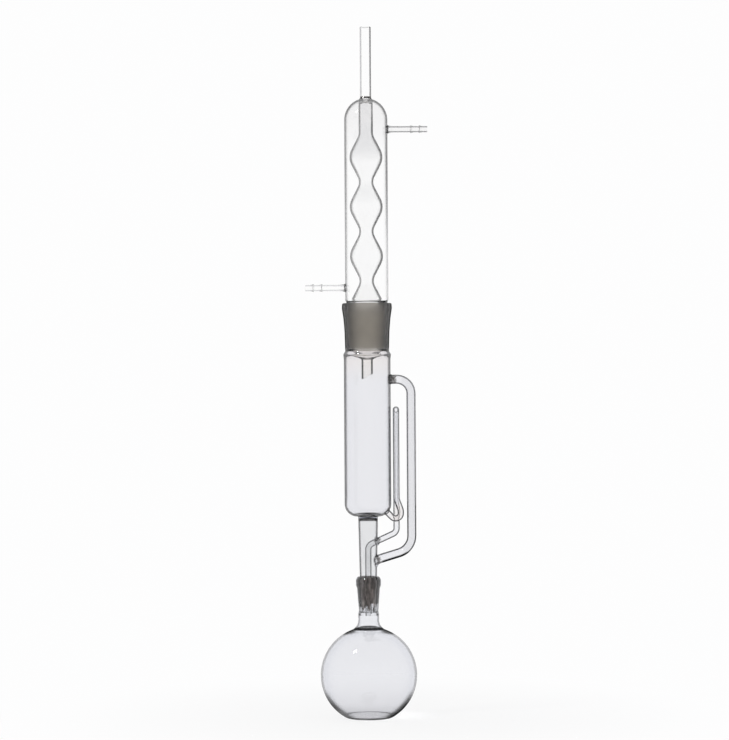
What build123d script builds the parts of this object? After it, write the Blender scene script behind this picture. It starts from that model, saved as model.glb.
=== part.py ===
from build123d import *
from math import acos, atan2, cos, degrees, hypot, radians, sin, sqrt, tan
import os

os.makedirs("parts", exist_ok=True)

# All sizes are in millimetres. Widths are outer diameters, and the set stands on z = 0.

# Ground joints, both with the standard taper of 1 in 10 on the width
taper = 0.1
grease_gap = 0.04
joint_end_round = 0.4
lower_joint_width = 18.8
lower_joint_length = 38.0
upper_joint_width = 45.0
upper_joint_length = 50.0
lower_cone_wall = 1.5
upper_cone_wall = 2.2
mouth_ease = 0.6

# Flask
globe_width = 105.0
globe_wall = 1.8
foot_width = 49.0
foot_round = 8.0
foot_wall = 2.6
neck_width = 22.6
neck_wall = 1.8
neck_blend = 12.0
neck_waist_width = 21.2
neck_waist_drop = 37.0
neck_bell = 4.0
neck_straight = 6.12
flask_bead_width = 27.4
flask_bead_length = 12.6
flask_bead_slope = 3.5
flask_bead_top = 3.0
flask_rim_inset = 2.0
flask_socket_width = 24.9
flask_neck_rounds = [6.0, 4.0, 3.0, 2.5, 1.0]
mouth_round = 0.5

# Extractor
stem_length = 65.9
stem_top_width = 21.5
stem_wall = 1.6
chamber_width = 50.8
chamber_length = 180.1
chamber_wall = 1.8
chamber_floor = 3.0
stem_roof_dish = 1.0
chamber_round = 13.5
stem_flare = 0.9
stem_collar = 3.0
shoulder_bulge = 0.6
shoulder_bulge_drop = 3.5
shoulder_length = 9.0
shoulder_height = 2.5
socket_foot_width = 47.8
socket_waist_width = 49.0
socket_waist_drop = 31.0
socket_body_width = 51.2
socket_body_drop = 17.0
socket_rim_width = 54.6
socket_rim_drop = 5.4
socket_rim_inset = 0.4
shoulder_rounds = [10.0, 2.2, 1.5]
socket_rounds = [40.0, 14.0, 3.0, 1.4]
shoulder_inner_rounds = [5.0, 1.5]
stem_round = 8.0
stem_inner_round = 20.0
stem_roof_round = 4.0

# Vapour arm of the extractor
arm_width = 10.0
arm_wall = 1.4
arm_reach = 47.6
arm_drop = 30.7
arm_rise = 18.5
arm_slope = 17.0
arm_top_bend = 15.5
arm_foot_bend = 19.5
arm_flare = 2.4
arm_foot_sunk = 1.2

# Siphon of the extractor
siphon_width = 6.9
siphon_wall = 1.2
siphon_gap = 2.25
siphon_rise = 119.7
siphon_bend_gap = 1.5
siphon_top_flat = 0.4
siphon_exit_slope = 45.0
siphon_entry_drop = 17.7
siphon_entry_slope = 24.0
siphon_entry_bend = 7.0
loop_drop = 2.2
loop_bulge = 4.6
loop_bend = 5.4
loop_side = 9.0
loop_lean = 12.1
riser_bend = 10.0
drip_bend = 7.5
drip_below_cone = 4.4
drip_cut = 24.0
siphon_flare = 1.2
siphon_flare_sunk = 1.2
seal_length = 1.5
seal_sunk = 0.1

# Condenser
jacket_width = 47.0
jacket_wall = 1.5
jacket_foot = 3.3
bulb_count = 3
bulb_pitch = 54.0
bulb_width = 35.8
bulb_curve = 18.0
bulb_neck_width = 15.4
bulb_neck_curve = 12.0
bulb_wall = 1.5
last_neck_rise = 24.3
top_neck_length = 37.2
vent_width = 12.0
vent_wall = 1.5
vent_length = 78.0
vent_blend = 3.0
vent_end_round = 0.5
inner_top_drop = 5.0
inner_top_cone = 3.0
funnel_drop = 10.2
funnel_knee_width = 27.0
funnel_knee_drop = 6.2
funnel_wall = 1.8
funnel_round = 2.5
funnel_knee_round = 12.0
funnel_inner_round = 3.0
cone_tip_round = 1.2
cone_collar = 1.0
cone_collar_round = 0.2
jacket_foot_rounds = [0.6, 3.0]
cone_bore_step = 0.4
cone_bore_round = 10.0
jacket_floor_round = 1.2
drip_tip_width = 12.2
drip_tip_wall = 1.5
drip_tip_length = 23.0
drip_tip_cut = 27.0

# Hose connections of the condenser
hose_reach = 67.0
hose_tube_width = 6.8
hose_bore_width = 4.2
hose_root_width = 10.0
hose_root_length = 13.0
hose_root_start = 0.5
hose_ridge_width = 8.4
hose_ridge_length = 3.4
hose_ridge_pitch = 9.4
hose_ridge_count = 2
hose_ridge_front = 0.6
hose_ridge_rest = 1.0
hose_ridge_rounds = [0.4, 0.4, 1.5]
hose_end_round = 0.6
hose_outlet_drop = 33.9
hose_inlet_rise = 16.8

# How far a bore is drawn past the wall that it opens
overrun = 2.0

# Heights of the stack, from the foot upwards
globe_radius = globe_width / 2
globe_height = sqrt(globe_radius**2 - (foot_width / 2) ** 2)
neck_root = globe_height + sqrt((globe_radius + neck_blend) ** 2 - (neck_width / 2 + neck_blend) ** 2)
flask_rim = neck_root + neck_straight + neck_bell + neck_waist_drop
cone_tip = flask_rim - lower_joint_length
chamber_base = flask_rim + stem_length
chamber_top = chamber_base + chamber_length
socket_foot = chamber_top + shoulder_height
socket_rim = socket_foot + upper_joint_length
last_neck = socket_rim + last_neck_rise
top_neck = last_neck + bulb_count * bulb_pitch
dome_top = top_neck + top_neck_length
dome_height = dome_top - jacket_width / 2

# Radii and places that several surfaces share
lower_socket_radius = lower_joint_width / 2
upper_socket_radius = upper_joint_width / 2
chamber_radius = chamber_width / 2
chamber_bore = chamber_radius - chamber_wall
chamber_round_middle = (chamber_radius - chamber_round, chamber_base + chamber_round)
jacket_radius = jacket_width / 2
jacket_bore = jacket_radius - jacket_wall
jacket_floor = socket_rim + jacket_foot - jacket_wall


def tapered(radius, drop):
    """Give the radius of a ground joint a drop below its wide end."""
    return radius - taper / 2 * drop


def arc_between(middle, radius, first, last):
    """Draw the arc about a point from one direction to another, in degrees."""
    return CenterArc(middle, radius, first, last - first)


def turned_solid(outline, mode=Mode.ADD):
    """Turn a closed outline of radius and height about the upright axis."""
    with BuildSketch(Plane.XZ) as section:
        with BuildLine():
            outline()
        make_face()
    revolve(section.sketch, axis=Axis.Z, mode=mode)


def globe_surface(inset, blend_radius, neck_radius, floor_height, floor_round, neck_end):
    """Draw one surface of the flask from the middle of its floor to its neck."""
    radius = globe_radius - inset
    middle = (0, globe_height)
    rise = globe_height - floor_height - floor_round
    reach = sqrt((radius - floor_round) ** 2 - rise**2)
    foot_angle = degrees(atan2(-rise, reach))
    blend_reach = neck_radius + blend_radius
    blend_angle = degrees(atan2(neck_root - globe_height, blend_reach))
    blend_middle = (blend_reach, neck_root)
    Line((0, floor_height), (reach, floor_height))
    arc_between((reach, floor_height + floor_round), floor_round, -90, foot_angle)
    arc_between(middle, radius, foot_angle, blend_angle)
    arc_between(blend_middle, blend_radius, 180 + blend_angle, 180)
    Line((neck_radius, neck_root), (neck_radius, neck_end))


def flask_outside():
    """Outline of the flask as a solid form, with the bead round its mouth."""
    waist_height = flask_rim - neck_waist_drop
    neck_end = waist_height - neck_bell
    bead_foot = flask_rim - flask_bead_length
    bead_radius = flask_bead_width / 2
    globe_surface(0, neck_blend, neck_width / 2, 0, foot_round, neck_end)
    FilletPolyline(
        (neck_width / 2, neck_end),
        (neck_waist_width / 2, waist_height),
        (flask_socket_width / 2, bead_foot),
        (bead_radius, bead_foot + flask_bead_slope),
        (bead_radius, flask_rim - flask_bead_top),
        (bead_radius - flask_rim_inset, flask_rim),
        (0, flask_rim),
        radius=flask_neck_rounds,
    )
    Line((0, flask_rim), (0, 0))


def flask_inside():
    """Outline of the space in the flask, up through its ground socket."""
    bore = neck_width / 2 - neck_wall
    socket_end = tapered(lower_socket_radius, lower_joint_length)
    neck_end = cone_tip - neck_bell
    globe_surface(globe_wall, neck_blend + globe_wall, bore, foot_wall, foot_round - globe_wall, neck_end)
    Line((bore, neck_end), (socket_end, cone_tip))
    FilletPolyline(
        (socket_end, cone_tip),
        (lower_socket_radius - taper / 2 * mouth_ease, flask_rim - mouth_ease),
        (lower_socket_radius + mouth_ease, flask_rim),
        radius=mouth_round,
    )
    Line((lower_socket_radius + mouth_ease, flask_rim), (0, flask_rim))
    Line((0, flask_rim), (0, foot_wall))


with BuildPart() as flask:
    turned_solid(flask_outside)
    turned_solid(flask_inside, Mode.SUBTRACT)


def stem_outside():
    """Outline of the lower cone and the stem as a solid form, flared onto the chamber floor."""
    cone_radius = lower_socket_radius - grease_gap
    tip_radius = tapered(cone_radius, lower_joint_length)
    stem_top = stem_top_width / 2
    stem_end = chamber_base + chamber_wall / 2
    Line((0, cone_tip), (tip_radius, cone_tip))
    Line((tip_radius, cone_tip), (cone_radius, flask_rim))
    FilletPolyline(
        (cone_radius, flask_rim),
        (cone_radius, flask_rim + stem_collar),
        (stem_top, chamber_base - stem_flare),
        radius=stem_round,
    )
    arc_between((stem_top + stem_flare, chamber_base - stem_flare), stem_flare, 180, 90)
    Line((stem_top + stem_flare, chamber_base), (stem_top + stem_flare, stem_end))
    Line((stem_top + stem_flare, stem_end), (0, stem_end))
    Line((0, stem_end), (0, cone_tip))


def chamber_outside():
    """Outline of the chamber and its ground socket as a solid form."""
    rim_radius = socket_rim_width / 2
    Line((0, chamber_base), (chamber_round_middle[0], chamber_base))
    arc_between(chamber_round_middle, chamber_round, -90, 0)
    FilletPolyline(
        (chamber_radius, chamber_round_middle[1]),
        (chamber_radius, chamber_top - shoulder_length),
        (chamber_radius + shoulder_bulge, chamber_top - shoulder_bulge_drop),
        (socket_foot_width / 2, chamber_top),
        (socket_waist_width / 2, socket_rim - socket_waist_drop),
        (socket_body_width / 2, socket_rim - socket_body_drop),
        (rim_radius, socket_rim - socket_rim_drop),
        (rim_radius - socket_rim_inset, socket_rim),
        (0, socket_rim),
        radius=shoulder_rounds + socket_rounds,
    )
    Line((0, socket_rim), (0, chamber_base))


def stem_inside():
    """Outline of the space in the lower cone and the stem, closed by the chamber floor."""
    tip_bore = tapered(lower_socket_radius, lower_joint_length) - lower_cone_wall
    neck_bore = lower_socket_radius - lower_cone_wall
    top_bore = stem_top_width / 2 - stem_wall
    stem_roof = chamber_base + chamber_wall - chamber_floor
    roof_edge = stem_roof - stem_roof_dish
    FilletPolyline(
        (0, cone_tip),
        (tip_bore, cone_tip),
        (neck_bore, flask_rim),
        (top_bore, roof_edge),
        (0, stem_roof),
        radius=[joint_end_round, stem_inner_round, stem_roof_round],
    )
    Line((0, stem_roof), (0, cone_tip))


def chamber_inside():
    """Outline of the space for the thimble, up through the ground socket."""
    inner_round = chamber_round - chamber_wall
    floor_height = chamber_base + chamber_wall
    socket_end = tapered(upper_socket_radius, upper_joint_length)
    Line((0, floor_height), (chamber_round_middle[0], floor_height))
    arc_between(chamber_round_middle, inner_round, -90, 0)
    FilletPolyline(
        (chamber_bore, chamber_round_middle[1]),
        (chamber_bore, chamber_top - shoulder_bulge_drop - chamber_wall),
        (socket_end, socket_foot),
        (upper_socket_radius - taper / 2 * mouth_ease, socket_rim - mouth_ease),
        (upper_socket_radius + mouth_ease, socket_rim),
        radius=shoulder_inner_rounds + [mouth_round],
    )
    Line((upper_socket_radius + mouth_ease, socket_rim), (0, socket_rim))
    Line((0, socket_rim), (0, floor_height))


def arm_route(sunk):
    """Draw the middle line of the vapour arm from the stem up to the chamber, sunk into both."""
    seal_height = chamber_top - arm_drop
    return FilletPolyline(
        arm_foot - arm_direction * sunk,
        arm_foot + arm_direction * ((arm_reach - arm_foot.X) / arm_direction.X),
        (arm_reach, 0, seal_height),
        (chamber_bore - sunk, 0, seal_height),
        radius=[arm_foot_bend, arm_top_bend],
    )


riser_reach = chamber_radius + siphon_gap + siphon_width / 2
siphon_top = chamber_base + siphon_rise - siphon_width / 2
riser_side = (siphon_width + siphon_bend_gap) / 2
siphon_top_bend = riser_side - siphon_top_flat / 2
loop_height = chamber_base - loop_drop
entry_height = chamber_base - siphon_entry_drop
drip_height = entry_height - riser_reach * tan(radians(siphon_entry_slope))
drip_end = cone_tip - drip_below_cone
siphon_exit = Vector(chamber_round_middle[0], -riser_side, chamber_round_middle[1])
exit_direction = Vector(cos(radians(siphon_exit_slope)), 0, -sin(radians(siphon_exit_slope)))
entry_direction = Vector(riser_reach, riser_side, entry_height - drip_height).normalized()
entry_seat = Vector(0, 0, drip_height) + entry_direction * (stem_top_width / 2)
arm_foot = Vector(lower_socket_radius, 0, flask_rim + arm_rise)
arm_direction = Vector(cos(radians(arm_slope)), 0, sin(radians(arm_slope)))


def siphon_route(start_depth, end_height):
    """Draw the middle line of the siphon from the chamber floor, over the top and down the stem."""
    start = chamber_round - start_depth
    turn = chamber_round_middle[1] - loop_height
    loop_reach = riser_reach + loop_bulge
    return FilletPolyline(
        siphon_exit + exit_direction * start,
        siphon_exit + exit_direction * (turn / sin(radians(siphon_exit_slope))),
        (loop_reach, -riser_side, loop_height),
        (loop_reach, -riser_side, loop_height + loop_side),
        (riser_reach, -riser_side, loop_height + loop_side + loop_lean),
        (riser_reach, -riser_side, siphon_top),
        (riser_reach, riser_side, siphon_top),
        (riser_reach, riser_side, entry_height),
        (0, 0, drip_height),
        (0, 0, end_height),
        radius=[
            loop_bend,
            loop_bend,
            riser_bend,
            riser_bend,
            siphon_top_bend,
            siphon_top_bend,
            siphon_entry_bend,
            drip_bend,
        ],
    )


def round_sweep(route, width, mode=Mode.ADD):
    """Sweep a round section along a middle line."""
    with BuildSketch(Plane(origin=route @ 0, z_dir=route % 0)) as section:
        Circle(width / 2)
    sweep(section.sketch, path=route, mode=mode)


def seal_flare(seat, along, width, flare):
    """Add the ring of flared glass where a tube is sealed onto a wall."""
    across = along.cross(Vector(0, 0, 1))
    tube_radius = width / 2
    ring_radius = tube_radius + flare
    ring_end = seal_length * flare
    with BuildSketch(Plane(origin=seat, x_dir=along, z_dir=across)) as section:
        with BuildLine():
            Polyline(
                (ring_end, tube_radius),
                (ring_end, 0),
                (-overrun, 0),
                (-overrun, ring_radius),
                (0, ring_radius),
            )
            Spline((0, ring_radius), (ring_end, tube_radius), tangents=[(0.2, -1), (1, -0.1)])
        make_face()
    revolve(section.sketch, axis=Axis(seat, along))


def oblique_cut(width, lowest, angle):
    """Cut the end of an upright tube aslant, so that it is longest towards -X."""
    slope = tan(radians(angle))
    tip_reach = width / 2
    with BuildSketch(Plane.XZ) as section:
        with BuildLine():
            Polyline(
                (-width, lowest - (width - tip_reach) * slope),
                (width, lowest + (width + tip_reach) * slope),
                (width, lowest - 2 * width),
                (-width, lowest - 2 * width),
                close=True,
            )
        make_face()
    extrude(section.sketch, amount=width, both=True, mode=Mode.SUBTRACT)


with BuildPart() as extractor:
    turned_solid(stem_outside)
    turned_solid(chamber_outside)
    with BuildLine():
        arm_line = arm_route(chamber_wall)
    round_sweep(arm_line, arm_width)
    arm_seat = sqrt(chamber_radius**2 - (arm_width / 2 + arm_flare) ** 2) - seal_sunk
    seal_flare(Vector(arm_seat, 0, chamber_top - arm_drop), Vector(1, 0, 0), arm_width, arm_flare)
    seal_flare(arm_foot - arm_direction * arm_foot_sunk, arm_direction, arm_width, arm_flare)
    seal_flare(entry_seat, entry_direction, siphon_width, siphon_flare)
    turned_solid(stem_inside, Mode.SUBTRACT)
    with BuildLine():
        siphon_line = siphon_route(chamber_wall + 2 * overrun, drip_end)
    round_sweep(siphon_line, siphon_width)
    exit_seat = siphon_exit + exit_direction * (chamber_round - siphon_flare_sunk)
    seal_flare(exit_seat, exit_direction, siphon_width, siphon_flare)
    turned_solid(chamber_inside, Mode.SUBTRACT)
    with BuildLine():
        siphon_bore_line = siphon_route(chamber_wall + 3 * overrun, drip_end - overrun)
    round_sweep(siphon_bore_line, siphon_width - 2 * siphon_wall, Mode.SUBTRACT)
    with BuildLine():
        arm_bore_line = arm_route(chamber_wall + overrun)
    round_sweep(arm_bore_line, arm_width - 2 * arm_wall, Mode.SUBTRACT)
    oblique_cut(siphon_width, drip_end, drip_cut)


bulb_middle = bulb_width / 2 - bulb_curve
bulb_neck_middle = bulb_neck_width / 2 + bulb_neck_curve
middles_apart = hypot(bulb_neck_middle - bulb_middle, bulb_pitch / 2)
middles_angle = atan2(bulb_pitch / 2, bulb_neck_middle - bulb_middle)
flank = degrees(middles_angle - acos((bulb_curve + bulb_neck_curve) / middles_apart))


def bulb_surface(inset, top_height):
    """Draw one surface of the bulbed tube downwards, and give where its last flare starts."""
    bulb_radius = bulb_curve - inset
    neck_radius = bulb_neck_curve + inset
    end = (bulb_neck_width / 2 - inset, top_height)
    height = top_neck
    Line(end, (end[0], height))
    turn = arc_between((bulb_neck_middle, height), neck_radius, 180, 180 + flank)
    for bulb in range(bulb_count):
        height = top_neck - (bulb + 0.5) * bulb_pitch
        ball = CenterArc((bulb_middle, height), bulb_radius, flank, -2 * flank)
        Line(turn @ 1, ball @ 0)
        turn = CenterArc((bulb_neck_middle, height - bulb_pitch / 2), neck_radius, 180 - flank, 2 * flank)
        Line(ball @ 1, turn @ 0)
    return turn @ 1


def condenser_outside():
    """Outline of the condenser as a solid form: cone, jacket, dome and vent tube."""
    cone_radius = upper_socket_radius - grease_gap
    tip_radius = tapered(cone_radius, upper_joint_length)
    vent_radius = vent_width / 2
    drip_radius = drip_tip_width / 2
    vent_top = dome_top + vent_length
    drip_foot = socket_foot - funnel_drop - drip_tip_length
    blend_reach = vent_radius + vent_blend
    blend_rise = sqrt((jacket_radius + vent_blend) ** 2 - blend_reach**2)
    blend_angle = degrees(atan2(blend_rise, blend_reach))
    blend_height = dome_height + blend_rise
    FilletPolyline(
        (0, drip_foot),
        (drip_radius, drip_foot),
        (drip_radius, socket_foot - funnel_drop),
        (funnel_knee_width / 2, socket_foot - funnel_knee_drop),
        (tip_radius, socket_foot),
        (cone_radius, socket_rim),
        (cone_radius, socket_rim + cone_collar),
        (jacket_radius, socket_rim + jacket_foot),
        (jacket_radius, dome_height),
        radius=[joint_end_round, funnel_round, funnel_knee_round, cone_tip_round, cone_collar_round]
        + jacket_foot_rounds,
    )
    arc_between((0, dome_height), jacket_radius, 0, blend_angle)
    arc_between((blend_reach, blend_height), vent_blend, 180 + blend_angle, 180)
    FilletPolyline(
        (vent_radius, blend_height),
        (vent_radius, vent_top),
        (0, vent_top),
        radius=vent_end_round,
    )
    Line((0, vent_top), (0, drip_foot))


def condenser_passage():
    """Outline of the way through the condenser, from its drip tip up to its vent."""
    cone_bore = upper_socket_radius - grease_gap - upper_cone_wall
    tip_bore = tapered(cone_bore, upper_joint_length)
    drip_bore = drip_tip_width / 2 - drip_tip_wall
    vent_bore = vent_width / 2 - vent_wall
    vent_top = dome_top + vent_length
    drip_foot = socket_foot - funnel_drop - drip_tip_length
    inner_top = dome_top - jacket_wall - inner_top_drop
    flare_start = bulb_surface(bulb_wall, inner_top)
    flare_reach = cone_bore - cone_bore_step
    flare_end = flare_start.Y - (flare_reach - flare_start.X) / tan(radians(flank))
    FilletPolyline(
        (flare_start.X, flare_start.Y),
        (flare_reach, flare_end),
        (tip_bore, socket_foot),
        (funnel_knee_width / 2 - funnel_wall / 2, socket_foot - funnel_knee_drop + funnel_wall),
        (drip_bore, socket_foot - funnel_drop + funnel_wall / 2),
        (drip_bore, drip_foot),
        (0, drip_foot),
        radius=[cone_bore_round, cone_tip_round, funnel_knee_round, funnel_inner_round, joint_end_round],
    )
    Polyline(
        (0, drip_foot),
        (0, vent_top),
        (vent_bore, vent_top),
        (vent_bore, inner_top + inner_top_cone),
        (bulb_neck_width / 2 - bulb_wall, inner_top),
    )


def water_space():
    """Outline of the space for the cooling water, between the bulbed tube and the jacket."""
    tube_radius = bulb_neck_width / 2
    roof_height = dome_height + sqrt(jacket_bore**2 - tube_radius**2)
    roof_angle = degrees(atan2(roof_height - dome_height, tube_radius))
    flare_start = bulb_surface(0, roof_height)
    floor_reach = flare_start.X + (flare_start.Y - jacket_floor) * tan(radians(flank))
    FilletPolyline(
        (flare_start.X, flare_start.Y),
        (floor_reach, jacket_floor),
        (jacket_bore, jacket_floor),
        (jacket_bore, dome_height),
        radius=jacket_floor_round,
    )
    arc_between((0, dome_height), jacket_bore, 0, roof_angle)


def hose_outside():
    """Outline of a hose connection along +X, turned about the line at height 0."""
    tube_radius = hose_tube_width / 2
    root_radius = hose_root_width / 2
    ridge_radius = hose_ridge_width / 2
    start = jacket_bore - overrun
    root_start = jacket_radius - hose_root_start
    root_end = jacket_radius + hose_root_length
    first = hose_reach - hose_ridge_pitch * hose_ridge_count
    Polyline((start, 0), (start, root_radius), (root_start, root_radius))
    Spline(
        (root_start, root_radius),
        (root_end, tube_radius),
        tangents=[(1, -0.6), (1, 0)],
    )
    end = (root_end, tube_radius)
    for ridge in range(hose_ridge_count):
        foot = first + ridge * hose_ridge_pitch
        back = foot + hose_ridge_length
        FilletPolyline(
            end,
            (foot, tube_radius),
            (foot + hose_ridge_front, ridge_radius),
            (back, tube_radius),
            (back + hose_ridge_rest, tube_radius),
            radius=hose_ridge_rounds,
        )
        end = (back + hose_ridge_rest, tube_radius)
    FilletPolyline(end, (hose_reach, tube_radius), (hose_reach, 0), radius=hose_end_round)
    Line((hose_reach, 0), (start, 0))


def hose_connection(side, height):
    """Seal a hose connection onto the jacket, out towards +X or -X."""
    across = Plane(origin=(0, 0, height), x_dir=(side, 0, 0), z_dir=(0, -side, 0))
    with BuildSketch(across) as section:
        with BuildLine():
            hose_outside()
        make_face()
    revolve(section.sketch, axis=Axis((0, 0, height), (side, 0, 0)))


def hose_bore(side, height):
    """Open a hose connection into the water space."""
    start = side * (jacket_bore - overrun)
    with BuildSketch(Plane(origin=(start, 0, height), z_dir=(side, 0, 0))) as section:
        Circle(hose_bore_width / 2)
    extrude(section.sketch, amount=hose_reach, mode=Mode.SUBTRACT)


hose_outlet_height = dome_top - hose_outlet_drop
hose_inlet_height = socket_rim + hose_inlet_rise

with BuildPart() as condenser:
    turned_solid(condenser_outside)
    hose_connection(1, hose_outlet_height)
    hose_connection(-1, hose_inlet_height)
    turned_solid(water_space, Mode.SUBTRACT)
    turned_solid(condenser_passage, Mode.SUBTRACT)
    hose_bore(1, hose_outlet_height)
    hose_bore(-1, hose_inlet_height)
    oblique_cut(drip_tip_width, socket_foot - funnel_drop - drip_tip_length, drip_tip_cut)


flask.part.label = "flask"
export_step(flask.part, "parts/flask.step")
extractor.part.label = "extractor"
export_step(extractor.part, "parts/extractor.step")
condenser.part.label = "condenser"
export_step(condenser.part, "parts/condenser.step")
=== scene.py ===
import math
from collections import namedtuple

import bpy
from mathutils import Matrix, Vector

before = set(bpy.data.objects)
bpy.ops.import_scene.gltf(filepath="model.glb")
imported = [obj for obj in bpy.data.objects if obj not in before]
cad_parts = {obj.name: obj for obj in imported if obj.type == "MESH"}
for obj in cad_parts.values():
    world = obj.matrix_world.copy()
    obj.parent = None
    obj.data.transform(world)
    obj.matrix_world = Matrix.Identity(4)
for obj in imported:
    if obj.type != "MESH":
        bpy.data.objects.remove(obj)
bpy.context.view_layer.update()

# The picture's size in pixels, and the metres that a pixel of it covers at the set
PIXELS_WIDE, PIXELS_HIGH = 729, 740
METRES_PER_PIXEL = 0.0010915
# The row where the flask stands, and the column of the upright axis
FOOT_ROW = 717.5
AXIS_COLUMN = 367.2
CAMERA_DISTANCE = 2.8
# The set leans this much in the picture, so the camera is rolled by it
LEAN = math.radians(0.34)

# Lengths are in metres. A pair of values says where a tint starts to change, and where it has changed.

# Each ground joint: its lower and upper end, and the radius of its ground faces at the upper end
UPPER_JOINT = (0.4022, 0.4522, 0.0225)
LOWER_JOINT = (0.1157, 0.1537, 0.0094)
JOINT_TAPER = 0.05
JOINT_END = 0.0006
GROUND_DEPTH = (0.00032, 0.0004)
GROUND_ROUGHNESS = 0.5
RAGGED_HEIGHT = 0.009
GLASS_IOR = 1.47

# Condenser: heights, then distances from the axis
DOME_START, DOME_END = (0.600, 0.662), (0.6745, 0.6780)
TOP_BULB_START, TOP_BULB_END = (0.604, 0.622), (0.640, 0.655)
TOP_BULB_NECK = (0.566, 0.582)
UPPER_JACKET = (0.500, 0.600)
JACKET_ROOF = (0.650, 0.664)
VENT_SEAL = (0.6760, 0.6775)
VENT_START = (0.6765, 0.6785)
CONE_END = (0.4010, 0.4022)
DRIP_TIP_TOP = (0.3950, 0.3970)
LEFT_TO_RIGHT = (-0.004, 0.004)
VENT_SEAL_RADIUS = (0.0085, 0.0095)
JACKET_RADIUS = (0.0200, 0.0212)
HOSE_ROOT_RADIUS = (0.0240, 0.0246)

# Extractor: heights, then distances from the axis
CHAMBER_WARM = (0.362, 0.395)
SOCKET_HEIGHT = (0.4030, 0.4516)
CHAMBER_CORNER = (0.228, 0.240)
STEM_RING = (0.2190, 0.2222)
STEM_TOP = (0.217, 0.219)
ARM_FOOT_TOP = (0.205, 0.215)
SOCKET_RADIUS = (0.0233, 0.0236)
CORNER_RADIUS = (0.0135, 0.016)
STEM_RING_RADIUS = (0.0115, 0.0130)
STEM_RADIUS = (0.0110, 0.0116)
PAST_STEM = (0.014, 0.018)
ARM_UPRIGHT = (0.036, 0.040)
# The slanting foot of the vapour arm: its rise for each metre outwards, and its height at the axis,
# and how far below that line its underside starts
ARM_SLOPE, ARM_START = 0.3057, 0.1693
ARM_UNDERSIDE = (-0.003, -0.001)
# The middle of the siphon's bottom loop, and how far round it the glass is warmer
LOOP_MIDDLE = (0.0335, -0.0042, 0.2220)
LOOP_REACH = (0.006, 0.016)
# Where tubes are sealed on: the middle, the distances over which the tint fades, and the tint, which is
# painted shade
EXTRACTOR_SEALS = (
    ((0.0100, 0.0031, 0.1937), (0.0030, 0.0045), (0.16, 0.155, 0.15)),
    ((0.0094, 0.0, 0.1722), (0.0050, 0.0065), (0.50, 0.49, 0.48)),
    ((0.0255, 0.0, 0.3690), (0.0062, 0.0080), (0.40, 0.39, 0.38)),
)

# Flask: heights, then a distance from the axis
GLOBE_LOW = (0.008, 0.036)
GLOBE_FOOT = (0.012, 0.034)
GLOBE_TOP = (0.0915, 0.0985)
NECK_ROOT = (0.0962, 0.0984)
FOOT_RADIUS = (0.0215, 0.0245)

STUDIO_WHITE = (0.985, 0.985, 0.987, 1)
KEY_LAMP_PLACE = (-0.70, -0.42, 1.29)
KEY_LAMP_TARGET = (0, 0, 0.2)
KEY_LAMP_SIZE = 0.2
KEY_LAMP_POWER = 8

Place = namedtuple("Place", "vector x z radius")


def place_camera():
    """Look level at the middle of the picture, rolled a little because the set leans in it."""
    middle_height = (FOOT_ROW - PIXELS_HIGH / 2) * METRES_PER_PIXEL
    middle_side = (PIXELS_WIDE / 2 - AXIS_COLUMN) * METRES_PER_PIXEL
    bpy.ops.object.camera_add(location=(middle_side, -CAMERA_DISTANCE, middle_height))
    camera = bpy.context.object
    camera.name = "camera"
    camera.rotation_euler = (math.radians(90), LEAN, 0)
    camera.data.lens = camera.data.sensor_width * CAMERA_DISTANCE / (PIXELS_HIGH * METRES_PER_PIXEL)
    camera.data.clip_start = 0.05
    camera.data.clip_end = 60
    bpy.context.scene.camera = camera


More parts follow.
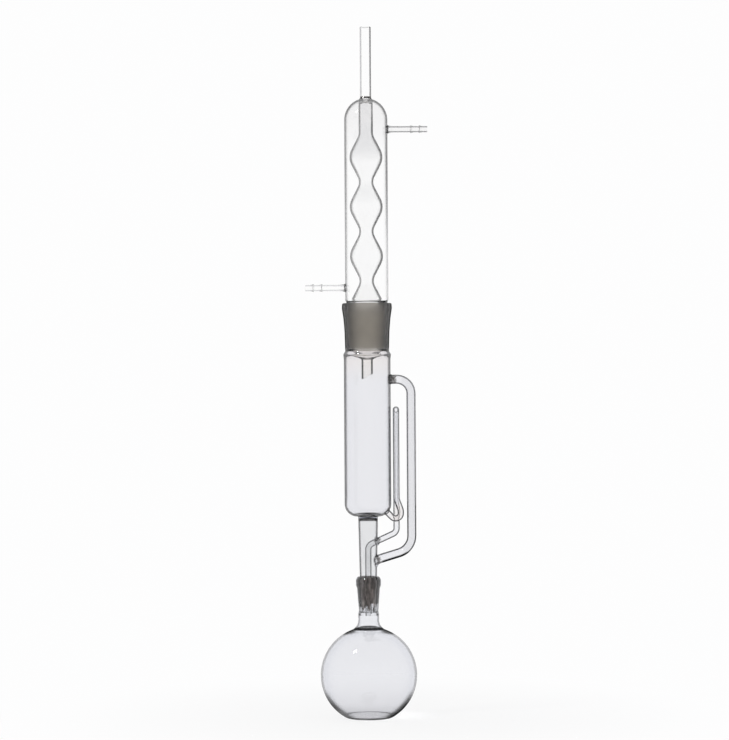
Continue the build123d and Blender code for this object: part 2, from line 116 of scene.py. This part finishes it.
class Shading:
    """A node tree being filled in, with short ways to add its nodes."""

    def __init__(self, tree, output_kind):
        self.tree = tree
        tree.nodes.clear()
        self.output = tree.nodes.new(output_kind)

    def node(self, kind, **settings):
        made = self.tree.nodes.new(kind)
        for key, value in settings.items():
            setattr(made, key, value)
        return made

    def feed(self, socket, value):
        """Link a socket to another one, or set its value."""
        if isinstance(value, bpy.types.NodeSocket):
            self.tree.links.new(value, socket)
        else:
            socket.default_value = value

    def math(self, operation, first, second=0.0, third=0.0):
        made = self.node("ShaderNodeMath", operation=operation)
        for socket, value in zip(made.inputs, (first, second, third)):
            self.feed(socket, value)
        return made.outputs[0]

    def both(self, first, second):
        return self.math("MULTIPLY", first, second)

    def either(self, first, second):
        return self.math("MAXIMUM", first, second)

    def fade(self, value, low, high, start=0.0, end=1.0):
        """Run smoothly from start to end while value goes from low to high."""
        made = self.node("ShaderNodeMapRange", interpolation_type="SMOOTHSTEP")
        names = ("Value", "From Min", "From Max", "To Min", "To Max")
        for name, given in zip(names, (value, low, high, start, end)):
            self.feed(made.inputs[name], given)
        return made.outputs["Result"]

    def past(self, value, pair):
        """0 up to a pair of values, and 1 past it."""
        return self.fade(value, *pair)

    def short_of(self, value, pair):
        """1 up to a pair of values, and 0 past it."""
        return self.fade(value, *pair, 1.0, 0.0)

    def band(self, value, pair, soft):
        """1 between a pair of values, and 0 outside, with soft edges."""
        low, high = pair
        rise = self.past(value, (low - soft, low + soft))
        fall = self.short_of(value, (high - soft, high + soft))
        return self.both(rise, fall)

    def blend(self, share, first, second):
        """Mix two colours."""
        made = self.node("ShaderNodeMix", data_type="RGBA")
        self.feed(made.inputs[0], share)
        for socket, colour in ((made.inputs[6], first), (made.inputs[7], second)):
            self.feed(socket, colour if isinstance(colour, bpy.types.NodeSocket) else (*colour, 1))
        return made.outputs[2]

    def noise(self, vector, scale, detail, roughness):
        made = self.node("ShaderNodeTexNoise")
        self.feed(made.inputs["Vector"], vector)
        made.inputs["Scale"].default_value = scale
        made.inputs["Detail"].default_value = detail
        made.inputs["Roughness"].default_value = roughness
        return made.outputs["Fac"]

    def place(self):
        """Give the object's own coordinates, and the distance from the upright axis."""
        vector = self.node("ShaderNodeTexCoord").outputs["Object"]
        split = self.node("ShaderNodeSeparateXYZ")
        self.feed(split.inputs[0], vector)
        x, y, z = split.outputs
        squares = self.math("ADD", self.both(x, x), self.both(y, y))
        return Place(vector, x, z, self.math("SQRT", squares))

    def near(self, vector, point, reach):
        """1 close to a point, and 0 beyond its reach."""
        away = self.node("ShaderNodeVectorMath", operation="DISTANCE")
        self.feed(away.inputs[0], vector)
        away.inputs[1].default_value = point
        return self.short_of(away.outputs["Value"], reach)

    def camera_rays(self):
        """1 for rays straight from the camera."""
        return self.node("ShaderNodeLightPath").outputs["Is Camera Ray"]

    def bent_rays(self):
        """1 for rays from the camera that glass bent or mirrored, and that met nothing matt on the way."""
        path = self.node("ShaderNodeLightPath").outputs
        bent = self.either(path["Is Glossy Ray"], path["Is Transmission Ray"])
        return self.both(bent, self.math("LESS_THAN", path["Diffuse Depth"], 0.5))

    def mix_surface(self, share, first, second):
        """Mix two shaders into the surface."""
        surface = self.node("ShaderNodeMixShader")
        for socket, value in zip(surface.inputs, (share, first.outputs[0], second.outputs[0])):
            self.feed(socket, value)
        self.feed(self.output.inputs["Surface"], surface.outputs[0])


def start_material(name):
    material = bpy.data.materials.new(name)
    material.use_nodes = True
    return material, Shading(material.node_tree, "ShaderNodeOutputMaterial")


def on_ground_face(shading, place, joint, ragged=0.0):
    """1 on the ground faces of one tapered joint, which start higher where ragged is more than 0."""
    low, high, wide = joint
    narrowing = shading.both(shading.math("SUBTRACT", high, place.z), JOINT_TAPER)
    cone = shading.math("SUBTRACT", wide, narrowing)
    away = shading.math("ABSOLUTE", shading.math("SUBTRACT", place.radius, cone))
    above = shading.past(shading.math("SUBTRACT", place.z, ragged), (low, low + JOINT_END))
    below = shading.short_of(place.z, (high - JOINT_END, high))
    return shading.both(shading.short_of(away, GROUND_DEPTH), shading.both(above, below))


def ground_joints(shading, slant, place):
    """Give the ground faces' share, and their mottled and streaked grey colour, partly painted shade,
    which painted shade makes darker towards their edges.
    """
    mottle = shading.noise(place.vector, 90.0, 4.0, 0.6)
    upper_colour = shading.blend(mottle, (0.74, 0.72, 0.68), (0.86, 0.84, 0.79))
    # Painted shade: the upper joint's ground face darkens towards its edges
    upper_colour = shading.blend(shading.fade(slant, 0.10, 0.8), upper_colour, (0.16, 0.155, 0.15))
    upper = on_ground_face(shading, place, UPPER_JOINT)

    stretched = shading.node("ShaderNodeMapping")
    stretched.inputs["Scale"].default_value = (1.0, 1.0, 0.2)
    shading.feed(stretched.inputs["Vector"], place.vector)
    streaks = shading.fade(shading.noise(stretched.outputs[0], 330.0, 4.0, 0.65), 0.38, 0.66)
    lower_colour = shading.blend(streaks, (0.36, 0.33, 0.31), (0.95, 0.90, 0.87))
    # Painted shade: the lower joint's ground face darkens towards its edges
    lower_colour = shading.blend(shading.fade(slant, 0.08, 0.6), lower_colour, (0.14, 0.135, 0.13))
    wavy = shading.noise(stretched.outputs[0], 260.0, 2.0, 0.5)
    ragged = shading.fade(wavy, 0.40, 0.62, 0.0, RAGGED_HEIGHT)
    lower = on_ground_face(shading, place, LOWER_JOINT, ragged)
    return shading.either(upper, lower), shading.blend(lower, upper_colour, lower_colour)


def blown_glass(name, clear_colour, absorbed=None, density=0):
    """Clear glass with the colour that a function gives, matt on its ground faces."""
    material, shading = start_material(name)
    place = shading.place()
    fresnel = shading.node("ShaderNodeFresnel")
    fresnel.inputs["IOR"].default_value = GLASS_IOR
    slant = fresnel.outputs[0]
    clear = clear_colour(shading, slant, place)
    ground, ground_colour = ground_joints(shading, slant, place)

    glass = shading.node("ShaderNodeBsdfGlass", distribution="GGX")
    glass.inputs["IOR"].default_value = GLASS_IOR
    shading.feed(glass.inputs["Color"], shading.blend(ground, clear, ground_colour))
    shading.feed(glass.inputs["Roughness"], shading.both(ground, GROUND_ROUGHNESS))
    passing = shading.node("ShaderNodeBsdfTransparent")
    passing.inputs["Color"].default_value = (0.93, 0.935, 0.94, 1)
    lamp_rays = shading.node("ShaderNodeLightPath").outputs["Is Shadow Ray"]
    shading.mix_surface(lamp_rays, glass, passing)
    if density:
        inside = shading.node("ShaderNodeVolumeAbsorption")
        inside.inputs["Color"].default_value = (*absorbed, 1)
        inside.inputs["Density"].default_value = density
        shading.feed(shading.output.inputs["Volume"], inside.outputs[0])
    return material


def with_painted_edge_shade(shading, slant, tint, edge, first=0.045, last=0.60):
    """Give the tint of a wall seen square on, and the edge colour where it is seen along its surface, a
    painted shade that stands in for the dark edges of glass.
    """
    return shading.blend(shading.fade(slant, first, last), tint, edge)


def condenser_colour(shading, slant, place):
    """Nearly colourless, with painted shade that greys the dome and the top bulb, and painted edge shade
    with lines that differ on the left and on the right.
    """
    z, radius = place.z, place.radius
    right = shading.past(place.x, LEFT_TO_RIGHT)
    # Painted shade: the dome and the top bulb are greyer, and the bulb's neck half as grey
    dome = shading.both(shading.past(z, DOME_START), shading.short_of(z, DOME_END))
    tint = shading.blend(dome, (0.999, 0.999, 0.999), (0.975, 0.974, 0.975))
    shaded_top_bulb = shading.both(shading.past(z, TOP_BULB_START), shading.short_of(z, TOP_BULB_END))
    shaded_neck = shading.both(shading.band(z, TOP_BULB_NECK, 0.008), 0.5)
    shaded_bulb_tint = shading.blend(shading.either(shaded_top_bulb, shaded_neck), tint, (0.962, 0.962, 0.964))

    # Painted edge shade: grey lines along the walls, mostly darker on the right than on the left but paler
    # on the right of the lower jacket, near black at the drip tip
    bulb_edge_shade = shading.blend(right, (0.34, 0.34, 0.345), (0.12, 0.12, 0.122))
    bulbs = with_painted_edge_shade(shading, slant, shaded_bulb_tint, bulb_edge_shade, last=0.45)
    upper = shading.past(z, UPPER_JACKET)
    left_edge_shade = shading.blend(upper, (0.62, 0.62, 0.625), (0.42, 0.42, 0.425))
    right_edge_shade = shading.blend(upper, (0.80, 0.80, 0.805), (0.30, 0.30, 0.305))
    jacket = with_painted_edge_shade(shading, slant, tint, shading.blend(right, left_edge_shade, right_edge_shade))
    vent_edge_shade = shading.blend(right, (0.62, 0.62, 0.625), (0.26, 0.26, 0.262))
    vent = with_painted_edge_shade(shading, slant, tint, vent_edge_shade)
    hose_edge_shade = shading.blend(right, (0.70, 0.70, 0.705), (0.34, 0.34, 0.345))
    hoses = with_painted_edge_shade(shading, slant, tint, hose_edge_shade)
    roof = with_painted_edge_shade(shading, slant, tint, (0.26, 0.26, 0.262))
    tip_tint = (0.995, 0.99, 0.985)
    tip = with_painted_edge_shade(shading, slant, tip_tint, (0.03, 0.028, 0.026), 0.07, 0.22)
    funnel = with_painted_edge_shade(shading, slant, tip_tint, (0.45, 0.44, 0.43))

    clear = shading.blend(shading.past(radius, JACKET_RADIUS), bulbs, jacket)
    clear = shading.blend(shading.past(radius, HOSE_ROOT_RADIUS), clear, hoses)
    clear = shading.blend(shading.past(z, JACKET_ROOF), clear, roof)
    clear = shading.blend(shading.past(z, VENT_START), clear, vent)
    # Painted shade: a dark ring where the vent is sealed on
    seal = shading.both(shading.band(z, VENT_SEAL, 0.0004), shading.short_of(radius, VENT_SEAL_RADIUS))
    clear = shading.blend(seal, clear, (0.45, 0.44, 0.43))
    clear = shading.blend(shading.short_of(z, CONE_END), clear, funnel)
    return shading.blend(shading.short_of(z, DRIP_TIP_TOP), clear, tip)


def extractor_colour(shading, slant, place):
    """A little grey, with painted shade on the edges, and darker painted shade at the seals, the socket,
    the chamber's lower corner, the stem's ring and under the vapour arm.
    """
    vector, x, z, radius = place
    arm_height = shading.math("MULTIPLY_ADD", x, ARM_SLOPE, ARM_START)
    under_arm = shading.short_of(shading.math("SUBTRACT", z, arm_height), ARM_UNDERSIDE)
    arm_foot = shading.both(shading.past(x, PAST_STEM), shading.short_of(z, ARM_FOOT_TOP))
    shaded_corner = shading.both(shading.short_of(z, CHAMBER_CORNER), shading.past(radius, CORNER_RADIUS))
    socket = shading.both(shading.band(z, SOCKET_HEIGHT, 0.0004), shading.past(radius, SOCKET_RADIUS))
    in_stem = shading.both(shading.short_of(z, STEM_TOP), shading.short_of(radius, STEM_RADIUS))
    shaded_ring = shading.both(shading.band(z, STEM_RING, 0.0005), shading.short_of(radius, STEM_RING_RADIUS))
    warm = shading.either(shading.past(z, CHAMBER_WARM), shading.near(vector, LOOP_MIDDLE, LOOP_REACH))

    tint = shading.blend(warm, (0.985, 0.985, 0.987), (0.988, 0.979, 0.972))
    tint = shading.blend(in_stem, tint, (0.965, 0.966, 0.964))
    tint = shading.blend(shading.past(x, ARM_UPRIGHT), tint, (0.965, 0.965, 0.967))
    # Painted shade: grey edge lines, near black along the socket and at the chamber's lower corner, and
    # black under the foot of the vapour arm
    clear = with_painted_edge_shade(shading, slant, tint, (0.24, 0.24, 0.245), 0.06)
    clear = shading.blend(socket, clear, with_painted_edge_shade(shading, slant, tint, (0.02, 0.02, 0.02), 0.06, 0.32))
    clear = shading.blend(shaded_corner, clear, with_painted_edge_shade(shading, slant, tint, (0.03, 0.03, 0.03), 0.2, 0.8))
    black_edge_shade = with_painted_edge_shade(shading, slant, tint, (0.0, 0.0, 0.0), 0.042, 0.07)
    clear = shading.blend(shading.both(under_arm, arm_foot), clear, black_edge_shade)
    # Painted shade at the seals, broken up by fine noise, and a dark ring painted round the stem
    seal_shade_hatch = shading.fade(shading.noise(vector, 700.0, 2.0, 0.5), 0.40, 0.60)
    for point, reach, colour in EXTRACTOR_SEALS:
        clear = shading.blend(shading.both(shading.near(vector, point, reach), seal_shade_hatch), clear, colour)
    return shading.blend(shaded_ring, clear, (0.12, 0.115, 0.11))


def flask_colour(shading, slant, place):
    """A little grey, with painted shade: slightly darker towards the globe's sides and bottom, thin pale
    edge lines round it, dark ones at its top and its foot, and a dark ring at the root of its neck.
    """
    z = place.z
    # Painted shade: greyer towards the sides and the bottom, grey edge lines, near black ones at the foot
    # broken up by noise and at the top, and a dark ring at the neck's root
    shaded_sides = shading.fade(slant, 0.038, 0.12)
    tint = shading.blend(shaded_sides, (0.965, 0.966, 0.972), (0.946, 0.948, 0.958))
    tint = shading.blend(shading.short_of(z, GLOBE_LOW), tint, (0.945, 0.945, 0.952))
    globe = with_painted_edge_shade(shading, slant, tint, (0.50, 0.50, 0.505), 0.25, 0.85)
    uneven = shading.fade(shading.noise(place.vector, 45.0, 2.0, 0.5), 0.35, 0.60, 0.45, 1.0)
    foot = shading.both(shading.short_of(z, GLOBE_FOOT), shading.past(place.radius, FOOT_RADIUS))
    painted_foot_shade = with_painted_edge_shade(shading, slant, tint, (0.005, 0.005, 0.006), 0.08, 0.35)
    painted_top_shade = with_painted_edge_shade(shading, slant, tint, (0.02, 0.02, 0.022), 0.08, 0.40)
    clear = shading.blend(shading.both(foot, uneven), globe, painted_foot_shade)
    clear = shading.blend(shading.band(z, GLOBE_TOP, 0.0015), clear, painted_top_shade)
    return shading.blend(shading.band(z, NECK_ROOT, 0.0006), clear, (0.14, 0.14, 0.145))


def set_world():
    """Even white surroundings for what the camera and the glass see, and softer light from them."""
    world = bpy.data.worlds.new("studio")
    bpy.context.scene.world = world
    world.use_nodes = True
    shading = Shading(world.node_tree, "ShaderNodeOutputWorld")
    seen = shading.either(shading.camera_rays(), shading.bent_rays())
    background = shading.node("ShaderNodeBackground")
    background.inputs["Color"].default_value = STUDIO_WHITE
    shading.feed(background.inputs["Strength"], shading.math("MULTIPLY_ADD", seen, 0.5, 0.5))
    shading.feed(shading.output.inputs["Surface"], background.outputs[0])


def lay_floor():
    """A wide pale floor that keeps a faint shadow near the set, and whose glow, as the glass sees it, is
    dimmer just under the set, a painted shade.
    """
    bpy.ops.mesh.primitive_plane_add(size=60, location=(0, 0, 0))
    floor = bpy.context.object
    floor.name = "floor"
    material, shading = start_material("pale_floor")
    distance = shading.place().radius
    camera, bent = shading.camera_rays(), shading.bent_rays()
    # Painted shade: the glow that glass bends into view is dimmer near the foot of the set
    painted_shade_under_set = shading.fade(distance, 0.02, 0.10, 0.78, 1.0)
    glow = shading.node("ShaderNodeEmission")
    glow.inputs["Color"].default_value = STUDIO_WHITE
    shading.feed(glow.inputs["Strength"], shading.either(camera, shading.both(bent, painted_shade_under_set)))
    matt = shading.node("ShaderNodeBsdfDiffuse")
    matt.inputs["Color"].default_value = (0.9, 0.9, 0.9, 1)
    clear_of_set = shading.fade(distance, 0.05, 0.4, 0.85, 1.0)
    shading.mix_surface(shading.both(shading.either(camera, bent), clear_of_set), matt, glow)
    floor.data.materials.append(material)


def hang_lamp(name, place, target, size, power):
    """A round soft lamp that looks at a point."""
    bpy.ops.object.light_add(type="AREA", location=place)
    lamp = bpy.context.object
    lamp.name = name
    lamp.data.shape = "DISK"
    lamp.data.size = size
    lamp.data.energy = power
    lamp.visible_transmission = False
    lamp.rotation_euler = (Vector(target) - Vector(place)).to_track_quat("-Z", "Y").to_euler()


place_camera()
set_world()
lay_floor()
hang_lamp("key_lamp", KEY_LAMP_PLACE, KEY_LAMP_TARGET, KEY_LAMP_SIZE, KEY_LAMP_POWER)

finishes = {
    "condenser": blown_glass("condenser_glass", condenser_colour),
    "extractor": blown_glass("extractor_glass", extractor_colour, (0.966, 0.967, 0.974), 1100),
    "flask": blown_glass("flask_glass", flask_colour, (0.97, 0.971, 0.978), 420),
}
for name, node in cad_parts.items():
    node.data.materials.clear()
    node.data.materials.append(finishes[name])

bpy.context.scene.view_settings.view_transform = "Standard"
